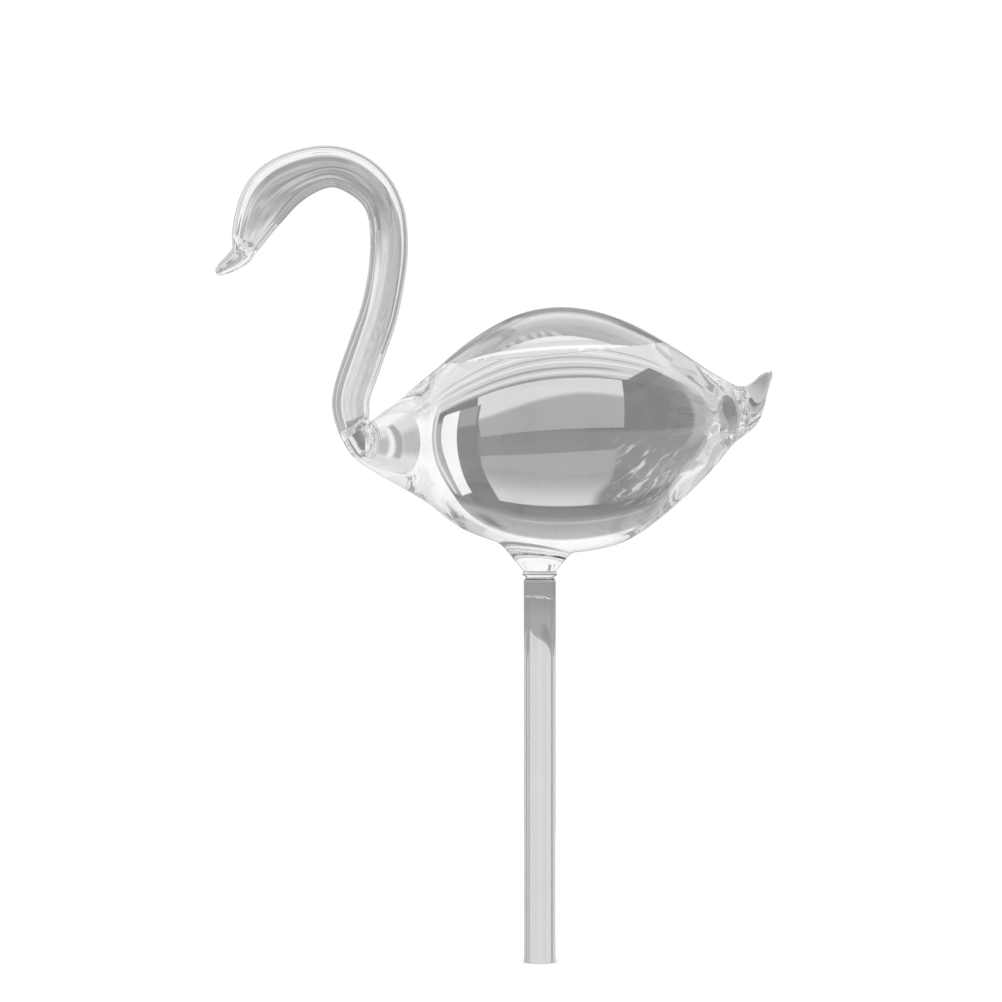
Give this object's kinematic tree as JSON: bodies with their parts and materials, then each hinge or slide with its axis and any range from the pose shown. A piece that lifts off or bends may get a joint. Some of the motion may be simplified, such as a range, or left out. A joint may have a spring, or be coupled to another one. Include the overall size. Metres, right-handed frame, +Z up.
{
  "type": "watering globe",
  "caption": "Clear blown-glass plant watering globe shaped like a swan: hollow bulb on a long open glass stem that is pushed into potting soil.",
  "frame": {"origin": "on the stem's axis, at its open lower end", "axes": "+Z up the stem towards the bulb, -X towards the beak, +X towards the tail, Y across the bird"},
  "size_m": [0.158, 0.0658, 0.2302],
  "materials": {
    "blown_glass": "clear blown borosilicate, polished",
    "drawn_glass": "clear drawn borosilicate tube, polished",
    "thick_glass": "clear solid glass, fire-polished"
  },
  "bodies": {
    "root": {"stem_tube": "drawn_glass", "stem_weld": "drawn_glass", "shoulder_cone": "blown_glass", "body_bulb": "blown_glass", "neck_and_head": "drawn_glass", "neck_root_seal": "thick_glass", "neck_root_cup": "drawn_glass", "beak_seam": "thick_glass", "beak_tip": "thick_glass", "tail_tip": "thick_glass"}
  },
  "joints": []
}
